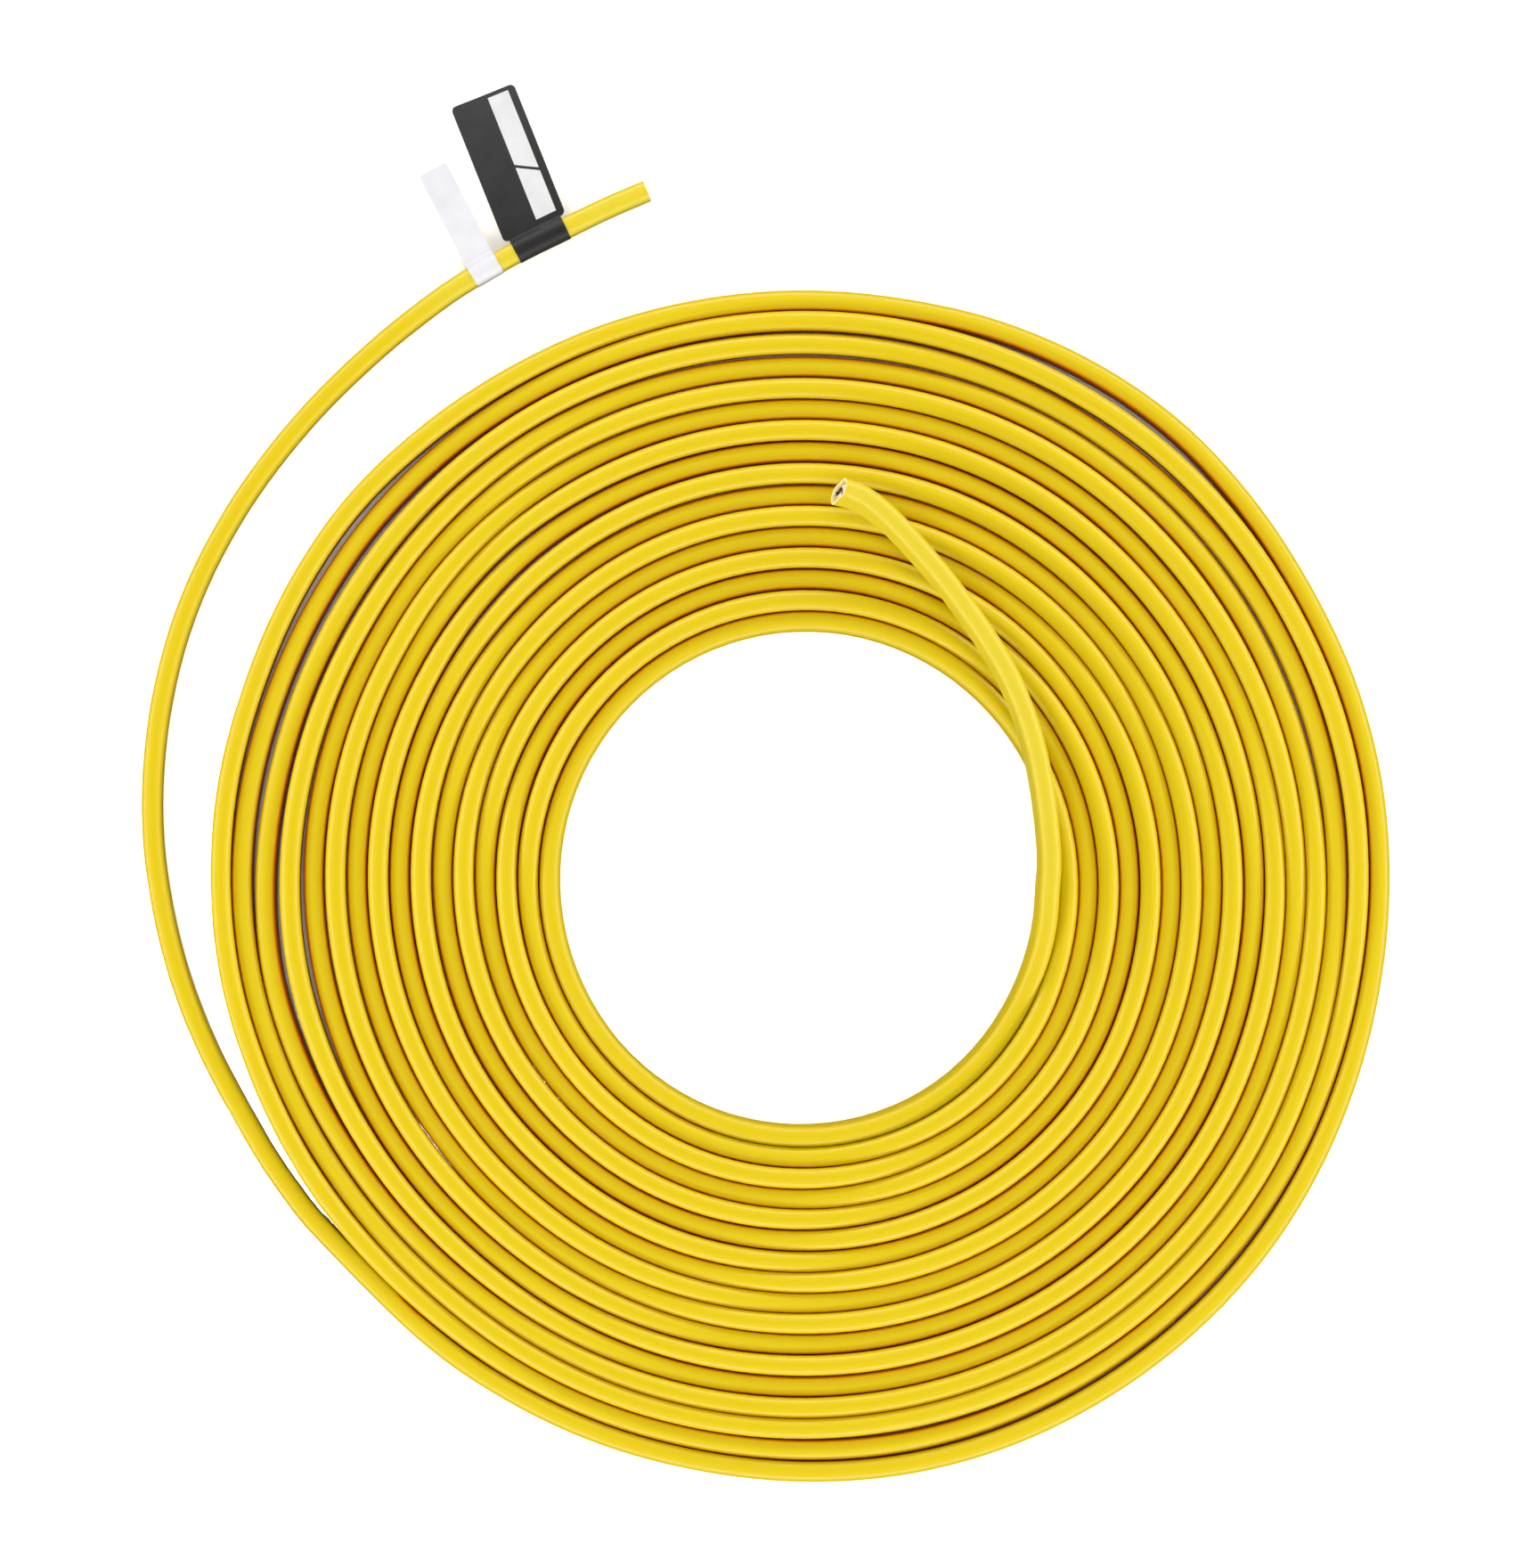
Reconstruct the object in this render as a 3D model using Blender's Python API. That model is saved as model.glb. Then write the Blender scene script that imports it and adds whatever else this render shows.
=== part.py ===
# Coil of flat sheathed building cable, wound on edge in one flat layer, with two labels on its outer end.
# Metres, +Z up. The coil lies on the floor at Z = 0, and the middle of its whole footprint is the origin.
# The cable is flat: its two broad sides stand upright, so its width is the height of the coil.

import math

import bmesh
import bpy
from mathutils import Matrix, Vector

# Cable: a sheath round two insulated wires with a bare ground wire between them
CABLE_WIDTH = 0.0134
CABLE_THICKNESS = 0.0067
SHEATH_WALL = 0.0009
WIRE_DIAMETER = 0.0039
GROUND_DIAMETER = 0.0026
CUT_DEPTH = 0.0050
EDGE_STEPS = 6
WIRE_SIDES = 16

# Coil
BORE_RADIUS = 0.0831
TURNS = 16
TURN_GAP = 0.0008
CREST_FLAT = 0.0026
GROOVE_DEPTH = 0.0033
COIL_STEPS = 48

# Clearance between pieces that touch
SEAT_GAP = 0.0003

# Innermost turn, which is the start of the inner tail: it goes once round on the floor, then climbs
FIRST_TURN_START_DEG = 16.0
CLIMB_START_DEG = 325.0
CLIMB_END_DEG = 374.0
FIRST_TURN_STEPS = 36
CLIMB_STEPS = 7

# Outer tail, which hugs the coil's flank before it leaves
FLANK_START_DEG = 230.0
FLANK_END_DEG = 208.0
FLANK_STEPS = 6

# Spacing of the points along both tails
TAIL_POINT_SPACING = 0.0120

# Black label: a neck round the cable and a broad flag
BLACK_NECK_LENGTH = 0.0193
BLACK_FLAG_WIDTH = 0.0233
BLACK_FLAG_LENGTH = 0.0480
BLACK_FLAG_CORNER = 0.0018
BLACK_FROM_END = 0.0402
BLACK_SWING_DEG = -4.0

# White label: a narrow strip over the cable
WHITE_STRIP_WIDTH = 0.0095
WHITE_FLAG_LENGTH = 0.0330
WHITE_FLAG_CORNER = 0.0005
WHITE_FROM_END = 0.0618
WHITE_SWING_DEG = -3.0

# Both labels
LABEL_WALL = 0.0005
FLAG_ROOT_HEIGHT = 0.0085
FLAG_TIP_HEIGHT = 0.0006

HALF_THICKNESS = CABLE_THICKNESS / 2
HALF_WIDTH = CABLE_WIDTH / 2
TURN_PITCH = CABLE_THICKNESS + TURN_GAP
FIRST_TURN_RADIUS = BORE_RADIUS + HALF_THICKNESS
RING_BORE = BORE_RADIUS + TURN_PITCH
RING_TURNS = TURNS - 1
COIL_RADIUS = RING_BORE + RING_TURNS * TURN_PITCH - TURN_GAP
FLANK_RADIUS = COIL_RADIUS + SEAT_GAP + HALF_THICKNESS
ON_TOP_HEIGHT = CABLE_WIDTH + SEAT_GAP + HALF_WIDTH
LABEL_LIFT = SEAT_GAP + LABEL_WALL

# Middle of the outer tail from the flank to the cut end, round the coil's centre: angle in degrees, and how far
# it stands off the flank. The third value is 0 on the floor and 1 where the cable lies on the labels' necks.
OUTER_ROUTE = [
    (203.4, 0.0009, 0.0),
    (195.9, 0.0050, 0.0),
    (188.9, 0.0092, 0.0),
    (182.3, 0.0130, 0.0),
    (176.0, 0.0166, 0.0),
    (169.8, 0.0195, 0.0),
    (163.6, 0.0220, 0.0),
    (157.3, 0.0241, 0.0),
    (150.7, 0.0254, 0.0),
    (143.5, 0.0262, 0.0),
    (135.8, 0.0269, 0.1),
    (128.5, 0.0279, 0.4),
    (122.8, 0.0292, 0.8),
    (119.1, 0.0302, 1.0),
    (114.2, 0.0314, 1.0),
    (109.5, 0.0329, 1.0),
    (106.0, 0.0350, 1.0),
    (102.4, 0.0374, 1.0),
]

# Middle of the inner tail from the top of its climb to the cut end: angle in degrees, how far it has moved out
# from the innermost turn, its rise above the coil's top, and how far its top leans outwards, in degrees.
INNER_ROUTE = [
    (20.5, 0.0024, 0.0, 2.0),
    (27.3, 0.0050, 0.0, 5.0),
    (33.8, 0.0080, 0.0, 8.0),
    (39.7, 0.0110, 0.0, 10.0),
    (45.6, 0.0144, 0.0, 10.0),
    (52.2, 0.0183, 0.0, 11.0),
    (58.2, 0.0225, 0.0, 11.0),
    (64.3, 0.0280, 0.0, 12.0),
    (69.5, 0.0332, 0.0002, 13.0),
    (74.8, 0.0397, 0.0007, 15.0),
    (78.6, 0.0442, 0.0014, 18.0),
    (81.6, 0.0470, 0.0026, 20.0),
    (84.2, 0.0479, 0.0041, 22.0),
]


def clear_scene():
    for old in list(bpy.data.objects):
        bpy.data.objects.remove(old, do_unlink=True)


def finish_material(name, colour, roughness, metallic=0.0):
    material = bpy.data.materials.new(name)
    material.use_nodes = True
    shader = material.node_tree.nodes["Principled BSDF"]
    shader.inputs["Base Color"].default_value = (*colour, 1.0)
    shader.inputs["Roughness"].default_value = roughness
    shader.inputs["Metallic"].default_value = metallic
    material.diffuse_color = (*colour, 1.0)
    return material


def add_object(name, data, material, parent):
    piece = bpy.data.objects.new(name, data)
    bpy.context.scene.collection.objects.link(piece)
    piece.parent = parent
    data.materials.append(material)
    return piece


def add_guide(name, data, parent):
    guide = bpy.data.objects.new(name, data)
    bpy.context.scene.collection.objects.link(guide)
    guide.parent = parent
    guide.hide_render = True
    guide.display_type = "WIRE"
    return guide


def racetrack(thickness, width, steps):
    """Points round a flat section with full round edges: thickness across, width upright."""
    radius = thickness / 2
    straight = (width - thickness) / 2
    points = []
    for centre_height, start in ((straight, 0.0), (-straight, math.pi)):
        for step in range(steps + 1):
            angle = start + math.pi * step / steps
            points.append((radius * math.cos(angle), centre_height + radius * math.sin(angle)))
    return points


def coil_profile():
    """Half section of the wound turns as (radius, height), anticlockwise from the bore's foot."""
    foot = []
    crown = []
    for turn in range(RING_TURNS):
        middle = RING_BORE + HALF_THICKNESS + turn * TURN_PITCH
        near, far = middle - CREST_FLAT / 2, middle + CREST_FLAT / 2
        foot += [(near, 0.0), (far, 0.0)]
        crown += [(near, CABLE_WIDTH), (far, CABLE_WIDTH)]
        if turn < RING_TURNS - 1:
            groove = middle + TURN_PITCH / 2
            foot.append((groove, GROOVE_DEPTH))
            crown.append((groove, CABLE_WIDTH - GROOVE_DEPTH))
    bore_wall = [(RING_BORE, CABLE_WIDTH - GROOVE_DEPTH), (RING_BORE, GROOVE_DEPTH)]
    outer_wall = [(COIL_RADIUS, GROOVE_DEPTH), (COIL_RADIUS, CABLE_WIDTH - GROOVE_DEPTH)]
    return foot + outer_wall + crown[::-1] + bore_wall


def make_coil(material, parent):
    mesh = bpy.data.meshes.new("cable_coil")
    bm = bmesh.new()
    rim = [bm.verts.new((radius, 0.0, height)) for radius, height in coil_profile()]
    edges = [bm.edges.new((rim[i], rim[(i + 1) % len(rim)])) for i in range(len(rim))]
    bmesh.ops.spin(
        bm,
        geom=rim + edges,
        cent=(0.0, 0.0, 0.0),
        axis=(0.0, 0.0, 1.0),
        angle=math.tau,
        steps=COIL_STEPS,
        use_merge=True,
    )
    bmesh.ops.recalc_face_normals(bm, faces=bm.faces)
    bm.to_mesh(mesh)
    bm.free()
    mesh.shade_smooth()
    mesh.set_sharp_from_angle(angle=math.radians(30))
    return add_object("cable_coil", mesh, material, parent)


def smooth_route(points, spacing):
    """Evenly spaced points on one smooth curve through the chosen points. Each may carry further values."""
    dense = []
    last = len(points) - 1
    for i in range(last):
        before, here = points[max(i - 1, 0)], points[i]
        there, after = points[i + 1], points[min(i + 2, last)]
        for step in range(20):
            t = step / 20
            dense.append(
                tuple(
                    0.5 * (2 * b + (c - a) * t + (2 * a - 5 * b + 4 * c - d) * t**2 + (3 * b - a - 3 * c + d) * t**3)
                    for a, b, c, d in zip(before, here, there, after)
                )
            )
    dense.append(tuple(points[last]))
    reach = [0.0]
    for a, b in zip(dense, dense[1:]):
        reach.append(reach[-1] + math.dist(a[:3], b[:3]))
    count = max(2, round(reach[-1] / spacing))
    spaced = []
    at = 0
    for k in range(count + 1):
        goal = reach[-1] * k / count
        while at < len(dense) - 2 and reach[at + 1] < goal:
            at += 1
        share = (goal - reach[at]) / (reach[at + 1] - reach[at])
        spaced.append(tuple(a + (b - a) * share for a, b in zip(dense[at], dense[at + 1])))
    return spaced


def make_section(parent):
    curve = bpy.data.curves.new("cable_section", "CURVE")
    curve.dimensions = "2D"
    curve.fill_mode = "NONE"
    outline = racetrack(CABLE_THICKNESS, CABLE_WIDTH, EDGE_STEPS)[::-1]
    spline = curve.splines.new("POLY")
    spline.points.add(len(outline) - 1)
    for point, (x, y) in zip(spline.points, outline):
        point.co = (x, y, 0.0, 1.0)
    spline.use_cyclic_u = True
    return add_guide("cable_section", curve, parent)


def make_cable(name, route, section, material, parent):
    """The flat section swept along route, whose points are x, y, z and lean in radians."""
    curve = bpy.data.curves.new(name + "_line", "CURVE")
    curve.dimensions = "3D"
    curve.twist_mode = "Z_UP"
    curve.bevel_mode = "OBJECT"
    curve.bevel_object = section
    curve.use_fill_caps = True
    spline = curve.splines.new("POLY")
    spline.points.add(len(route) - 1)
    for point, (x, y, z, lean) in zip(spline.points, route):
        point.co = (x, y, z, 1.0)
        point.tilt = lean
    line = add_guide(name + "_line", curve, parent)
    depsgraph = bpy.context.evaluated_depsgraph_get()
    mesh = bpy.data.meshes.new_from_object(line.evaluated_get(depsgraph))
    mesh.name = name
    mesh.materials.clear()
    return add_object(name, mesh, material, parent)


def around(degrees, radius):
    angle = math.radians(degrees)
    return radius * math.cos(angle), radius * math.sin(angle)


def outer_tail_route():
    points = []
    for step in range(FLANK_STEPS + 1):
        degrees = FLANK_START_DEG + (FLANK_END_DEG - FLANK_START_DEG) * step / FLANK_STEPS
        points.append((*around(degrees, FLANK_RADIUS), HALF_WIDTH, 0.0))
    for degrees, out, share in OUTER_ROUTE:
        points.append((*around(degrees, FLANK_RADIUS + out), HALF_WIDTH + share * LABEL_LIFT, 0.0))
    return smooth_route(points, TAIL_POINT_SPACING)


def inner_tail_route():
    points = []
    for step in range(FIRST_TURN_STEPS):
        degrees = FIRST_TURN_START_DEG + (CLIMB_START_DEG - FIRST_TURN_START_DEG) * step / FIRST_TURN_STEPS
        points.append((*around(degrees, FIRST_TURN_RADIUS), HALF_WIDTH, 0.0))
    for step in range(CLIMB_STEPS + 1):
        share = step / CLIMB_STEPS
        degrees = CLIMB_START_DEG + (CLIMB_END_DEG - CLIMB_START_DEG) * share
        height = HALF_WIDTH + (ON_TOP_HEIGHT - HALF_WIDTH) * share * share * (3 - 2 * share)
        points.append((*around(degrees, FIRST_TURN_RADIUS), height, 0.0))
    for degrees, out, rise, lean in INNER_ROUTE:
        place = around(degrees, FIRST_TURN_RADIUS + out)
        points.append((*place, ON_TOP_HEIGHT + rise, math.radians(lean)))
    return smooth_route(points, TAIL_POINT_SPACING)


def cut_end_frame(route):
    """X out of the cut end, Z along the section's width, Y across it, at the middle of the cut face."""
    end, before = Vector(route[-1][:3]), Vector(route[-2][:3])
    out = (end - before).normalized()
    side = Vector((0.0, 0.0, 1.0)).cross(out).normalized()
    upright = Matrix((out, side, out.cross(side))).transposed().to_4x4()
    return Matrix.Translation(end) @ upright @ Matrix.Rotation(route[-1][3], 4, "X")


def open_cut_end(tail, route, name, finishes, parent):
    """Opens the cut end down to its wires, and puts the three wires in it, flush with the cut."""
    place = cut_end_frame(route)
    room = racetrack(CABLE_THICKNESS - 2 * SHEATH_WALL, CABLE_WIDTH - 2 * SHEATH_WALL, EDGE_STEPS)
    cutter = add_guide(name + "_room", prism_mesh(name + "_room", room, 2 * CUT_DEPTH), parent)
    cutter.matrix_local = place
    boolean(tail, cutter, "DIFFERENCE")
    half_room = HALF_WIDTH - SHEATH_WALL
    apart = half_room - SEAT_GAP - WIRE_DIAMETER / 2
    length = CUT_DEPTH - SEAT_GAP
    wires = []
    for wire, height, diameter in (
        ("black_wire", apart, WIRE_DIAMETER),
        ("ground_wire", 0.0, GROUND_DIAMETER),
        ("white_wire", -apart, WIRE_DIAMETER),
    ):
        outline = []
        for k in range(WIRE_SIDES):
            y, z = around(360.0 * k / WIRE_SIDES, diameter / 2)
            outline.append((y, z + height))
        mesh = prism_mesh(name + "_" + wire, outline, length)
        piece = add_object(name + "_" + wire, mesh, finishes[wire], parent)
        piece.matrix_local = place @ Matrix.Translation((-length / 2, 0.0, 0.0))
        wires.append(piece)
    return wires


def place_on_route(route, from_end):
    """Where the cable's middle is at this distance from its cut end, with X along it and Y to its outer side."""
    left = from_end
    for a, b in zip(route[::-1], route[-2::-1]):
        step = math.dist(a[:3], b[:3])
        if left <= step:
            middle = Vector(a[:3]).lerp(Vector(b[:3]), left / step)
            along = (Vector(a[:3]) - Vector(b[:3])).normalized()
            return Matrix.Translation(middle) @ Matrix.Rotation(math.atan2(along.y, along.x), 4, "Z")
        left -= step
    raise ValueError("the label is past the start of the tail")


def prism(bm, outline, length):
    """The closed outline in the YZ plane, drawn out along X and centred on it."""
    ring = [bm.verts.new((-length / 2, y, z)) for y, z in outline]
    face = bm.faces.new(ring)
    drawn = bmesh.ops.extrude_face_region(bm, geom=[face])
    moved = [v for v in drawn["geom"] if isinstance(v, bmesh.types.BMVert)]
    bmesh.ops.translate(bm, vec=(length, 0.0, 0.0), verts=moved)
    bmesh.ops.recalc_face_normals(bm, faces=bm.faces)


def prism_mesh(name, outline, length):
    mesh = bpy.data.meshes.new(name)
    bm = bmesh.new()
    prism(bm, outline, length)
    bm.to_mesh(mesh)
    bm.free()
    return mesh


def boolean(piece, other, operation):
    cut = piece.modifiers.new(operation.lower(), "BOOLEAN")
    cut.operation = operation
    cut.solver = "EXACT"
    cut.object = other


def flag_mesh(name, width, length, corner):
    """A thin plate from the cable's side, with two rounded corners at its far end and two at its root."""
    mesh = bpy.data.meshes.new(name)
    bm = bmesh.new()
    corners = [(-width / 2, 0.0), (width / 2, 0.0), (width / 2, length), (-width / 2, length)]
    face = bm.faces.new([bm.verts.new((x, y, 0.0)) for x, y in corners])
    drawn = bmesh.ops.extrude_face_region(bm, geom=[face])
    moved = [v for v in drawn["geom"] if isinstance(v, bmesh.types.BMVert)]
    bmesh.ops.translate(bm, vec=(0.0, 0.0, LABEL_WALL), verts=moved)
    upright = [e for e in bm.edges if abs(e.verts[0].co.z - e.verts[1].co.z) > LABEL_WALL / 2]
    bmesh.ops.bevel(bm, geom=upright, offset=corner, segments=4, profile=0.5, affect="EDGES", material=-1)
    bmesh.ops.recalc_face_normals(bm, faces=bm.faces)
    bm.to_mesh(mesh)
    bm.free()
    return mesh


def make_label(name, place, neck_length, flag_width, flag_length, corner, swing, material, parent):
    """A neck round the cable with its flag sloping from the cable's outer side to the floor."""
    hollow = 2 * SEAT_GAP
    wall = hollow + 2 * LABEL_WALL
    neck = racetrack(CABLE_THICKNESS + wall, CABLE_WIDTH + wall, EDGE_STEPS)
    room = racetrack(CABLE_THICKNESS + hollow, CABLE_WIDTH + hollow, EDGE_STEPS)
    label = add_object(name, prism_mesh(name, neck, neck_length), material, parent)
    label.matrix_local = place

    root = HALF_THICKNESS + SEAT_GAP + LABEL_WALL / 2
    slope = math.asin((FLAG_ROOT_HEIGHT - FLAG_TIP_HEIGHT) / flag_length)
    flag = add_guide(name + "_flag", flag_mesh(name + "_flag", flag_width, flag_length, corner), parent)
    flag.matrix_local = (
        place
        @ Matrix.Translation((0.0, root, FLAG_ROOT_HEIGHT - place.translation.z))
        @ Matrix.Rotation(math.radians(swing), 4, "Z")
        @ Matrix.Rotation(-slope, 4, "X")
    )
    boolean(label, flag, "UNION")

    cutter = add_guide(name + "_room", prism_mesh(name + "_room", room, 2 * flag_width), parent)
    cutter.matrix_local = place
    boolean(label, cutter, "DIFFERENCE")
    return label


def centre_on_origin(frame, pieces):
    """Moves the parent so that the middle of the whole footprint is the origin, with the floor at Z = 0."""
    bpy.context.view_layer.update()
    depsgraph = bpy.context.evaluated_depsgraph_get()
    corners = []
    for piece in pieces:
        shown = piece.evaluated_get(depsgraph)
        mesh = shown.to_mesh()
        corners += [shown.matrix_world @ v.co for v in mesh.vertices]
        shown.to_mesh_clear()
    low = [min(c[i] for c in corners) for i in range(2)]
    high = [max(c[i] for c in corners) for i in range(2)]
    frame.location = (-(low[0] + high[0]) / 2, -(low[1] + high[1]) / 2, 0.0)


def main():
    clear_scene()
    sheath = finish_material("yellow_sheath", (0.80, 0.58, 0.02), 0.38)
    black = finish_material("black_label", (0.02, 0.02, 0.022), 0.5)
    white = finish_material("white_label", (0.80, 0.80, 0.84), 0.55)
    finishes = {
        "black_wire": finish_material("black_insulation", (0.02, 0.02, 0.02), 0.4),
        "ground_wire": finish_material("bare_copper", (0.72, 0.36, 0.18), 0.3, 1.0),
        "white_wire": finish_material("white_insulation", (0.85, 0.84, 0.80), 0.4),
    }

    frame = bpy.data.objects.new("coil_centre", None)
    bpy.context.scene.collection.objects.link(frame)

    section = make_section(frame)
    outer_route = outer_tail_route()
    inner_route = inner_tail_route()
    outer_tail = make_cable("outer_tail", outer_route, section, sheath, frame)
    inner_tail = make_cable("inner_tail", inner_route, section, sheath, frame)
    pieces = [
        make_coil(sheath, frame),
        outer_tail,
        inner_tail,
        *open_cut_end(outer_tail, outer_route, "outer_end", finishes, frame),
        *open_cut_end(inner_tail, inner_route, "inner_end", finishes, frame),
        make_label(
            "black_tag",
            place_on_route(outer_route, BLACK_FROM_END),
            BLACK_NECK_LENGTH,
            BLACK_FLAG_WIDTH,
            BLACK_FLAG_LENGTH,
            BLACK_FLAG_CORNER,
            BLACK_SWING_DEG,
            black,
            frame,
        ),
        make_label(
            "white_tag",
            place_on_route(outer_route, WHITE_FROM_END),
            WHITE_STRIP_WIDTH,
            WHITE_STRIP_WIDTH,
            WHITE_FLAG_LENGTH,
            WHITE_FLAG_CORNER,
            WHITE_SWING_DEG,
            white,
            frame,
        ),
    ]
    centre_on_origin(frame, pieces)


main()
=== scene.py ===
# Looks of a coil of flat building cable: its real turns, its sheath, its two cut ends and its two labels.
# Metres, +Z up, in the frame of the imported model. The camera looks straight down, as the photograph does.

import math

import bmesh
import bpy
from mathutils import Matrix, Vector, noise

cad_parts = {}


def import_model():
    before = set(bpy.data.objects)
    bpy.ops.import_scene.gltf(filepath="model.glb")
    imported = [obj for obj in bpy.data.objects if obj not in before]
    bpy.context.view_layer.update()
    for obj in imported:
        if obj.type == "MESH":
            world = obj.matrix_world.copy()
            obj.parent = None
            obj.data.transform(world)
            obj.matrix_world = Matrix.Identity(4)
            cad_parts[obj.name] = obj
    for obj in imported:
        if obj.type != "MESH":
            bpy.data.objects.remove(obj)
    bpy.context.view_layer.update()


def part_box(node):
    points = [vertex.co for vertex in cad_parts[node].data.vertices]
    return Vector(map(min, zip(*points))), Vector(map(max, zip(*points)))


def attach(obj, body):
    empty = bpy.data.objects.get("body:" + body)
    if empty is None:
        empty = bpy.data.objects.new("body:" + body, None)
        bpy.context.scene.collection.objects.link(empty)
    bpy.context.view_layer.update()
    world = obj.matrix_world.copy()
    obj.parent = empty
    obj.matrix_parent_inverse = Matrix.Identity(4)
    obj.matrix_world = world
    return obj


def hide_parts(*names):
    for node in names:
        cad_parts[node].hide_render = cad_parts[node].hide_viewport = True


# Photograph
PHOTO_WIDTH = 1720
PHOTO_HEIGHT = 1760
COIL_MIDDLE_PIXEL = (897.0, 991.0)
PIXEL = 0.0003055
CAMERA_RISE = 2.4
SENSOR = 36.0

# Cable: a sheath round two insulated wires, with a bare ground wire in paper between them
CABLE_WIDTH = 0.0134
CABLE_THICKNESS = 0.0070
HALF_WIDTH = CABLE_WIDTH / 2
HALF_THICKNESS = CABLE_THICKNESS / 2
HALF_FLAT = HALF_WIDTH - HALF_THICKNESS
SHEATH_WALL = 0.0009
SIDE_DIP = 0.0001
EDGE_STEPS = 12
FLAT_STEPS = 4
RING_SPACING = 0.0060
CURVE_STEPS = 20
CUT_DEPTH = 0.0080

# Rim of a cut end from outside in: how far each step goes inwards and outwards, its raggedness and its finish
CUT_RIM = [
    (0.00008, 0.00004, 0.0, 0),
    (SHEATH_WALL * 0.4, 0.00005, 0.00022, 1),
    (SHEATH_WALL * 0.4, -0.00005, 0.00022, 1),
    (SHEATH_WALL * 0.1, -0.0004, 0.0, 1),
]

# Wires and paper in a cut end
WIRE_DIAMETER = 0.0039
CORE_DIAMETER = 0.0026
SEAT_GAP = 0.0003
WIRE_GAP = 0.00002
WIRE_SIDES = 40
CORE_ROUNDING = 0.00015
INSULATION_ROUNDING = 0.00012
CORE_STANDS_PROUD = 0.0002
BLACK_WIRE_END = -0.0030
WHITE_WIRE_END = -0.0034
GROUND_WIRE_END = -0.0024
PAPER_GAP = 0.00020
PAPER_THICKNESS = 0.00010
PAPER_CRUMPLE = 0.00010
CRUMPLE_ACROSS_FROM = Vector((17.3, 0.0, 0.0))
CRUMPLE_UPWARD_FROM = Vector((0.0, 31.7, 0.0))
PAPER_TEAR = 0.0012
PAPER_FOLD = 0.42
PAPER_RINGS = 14
PAPER_EDGE_STEPS = 20

# Coil, turns counted outwards from the bore and clockwise from +X
SPIRAL_START = 0.0842
SPIRAL_PITCH = 0.00704
SPIRAL_GROWTH = 0.000014
TURNS_WOUND = 16.36
STEPS_PER_TURN = 36
TURN_CLEARANCE = 0.00006

# How far the coil is out of round: waves round the coil, then the cosine and sine parts at the bore
# and what they gain by the outermost turn
OUT_OF_ROUND = [
    (1, 0.0015, -0.0003, -0.0018, 0.0016),
    (2, -0.0006, 0.0, 0.0, -0.0006),
    (3, 0.0, 0.0, -0.0007, 0.0),
]

# Places where turns are pushed out or in: turn, angle, reach in turns, reach in degrees, push
LOOSE_PLACES = [
    (0.2, 305, 0.6, 25, 0.0006),
    (5.0, 282, 1.8, 12, 0.0009),
    (5.2, 165, 2.5, 22, 0.0007),
    (6.0, 215, 2.5, 22, 0.0007),
    (9.5, 133, 1.2, 12, 0.0010),
    (10.4, 30, 1.3, 18, -0.0005),
    (11.0, 210, 1.8, 18, 0.0005),
    (12.0, 82, 2.0, 18, -0.0006),
    (12.2, 120, 2.0, 15, 0.0007),
    (12.6, 150, 2.0, 17, -0.0010),
    (13.2, 270, 1.6, 18, 0.0006),
    (13.6, 190, 1.3, 15, 0.0022),
    (13.9, 30, 1.0, 18, 0.0006),
    (14.0, 253, 0.6, 12, -0.0008),
    (14.8, 12, 1.6, 16, 0.0011),
    (15.1, 175, 0.85, 17, 0.0019),
    (15.2, 208, 0.9, 13, 0.0006),
    (15.5, 142, 0.9, 14, 0.0020),
    (15.6, 47, 0.7, 10, 0.0013),
    (15.6, 240, 1.2, 18, -0.0012),
    (15.8, 60, 0.6, 15, 0.0013),
    (15.8, 90, 0.5, 15, -0.0011),
    (15.8, 286, 0.8, 20, 0.0016),
    (15.8, 320, 0.9, 16, 0.0010),
]

# Rise and lean of the turns, which stand on edge. Most turns lean a little, and the innermost ones lean
# outwards where the inner tail pulls on them (turn, degrees).
TURN_LIFT = 0.0020
LIFT_WAVES = 1.48
LIFT_PHASE = 0.75
LIFT_SLIP = (13.2, 14.2)
LIFT_SHARPNESS = 2.2
TURN_LEAN = 2.6
LEAN_WAVES = 0.83
PULLED_TURNS = [(0.06, 12.0), (1.06, 8.0), (2.06, 4.0), (3.06, 2.0)]
PULL_REACH = 0.24

# Turns wound between which a side of the cable faces another turn
OUTER_SIDE_FACES = (0.3, TURNS_WOUND - 0.97)
INNER_SIDE_FACES = (1.3, TURNS_WOUND + 0.3)

# Inner tail: the climb out of the bore, then the way over the turns to the cut end
FIRST_TURN_RADIUS = 0.08645
CLIMB_START_DEG = 325.0
CLIMB_END_DEG = 374.0
ON_TOP = CABLE_WIDTH + TURN_LIFT + SEAT_GAP
CLIMB_ROUTE = [(373.4, 0.0005), (365.6, -0.0005)]
CLIMB_LEAN = 11.0

# Angle in degrees, how far out from the innermost turn, rise above the turns, and outward lean in degrees
INNER_ROUTE = [
    (20.5, 0.0024, 0.0, 11.0),
    (27.3, 0.0050, 0.0, 11.0),
    (33.8, 0.0080, 0.0, 11.0),
    (39.7, 0.0110, 0.0, 11.0),
    (45.6, 0.0144, 0.0, 11.0),
    (52.2, 0.0183, 0.0, 11.0),
    (58.2, 0.0225, 0.0, 12.0),
    (64.3, 0.0280, 0.0, 12.0),
    (69.5, 0.0332, 0.0002, 14.0),
    (74.8, 0.0397, 0.0008, 17.0),
    (78.6, 0.0442, 0.0018, 21.0),
    (81.6, 0.0470, 0.0034, 24.0),
    (84.2, 0.0479, 0.0055, 26.0),
]

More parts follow.
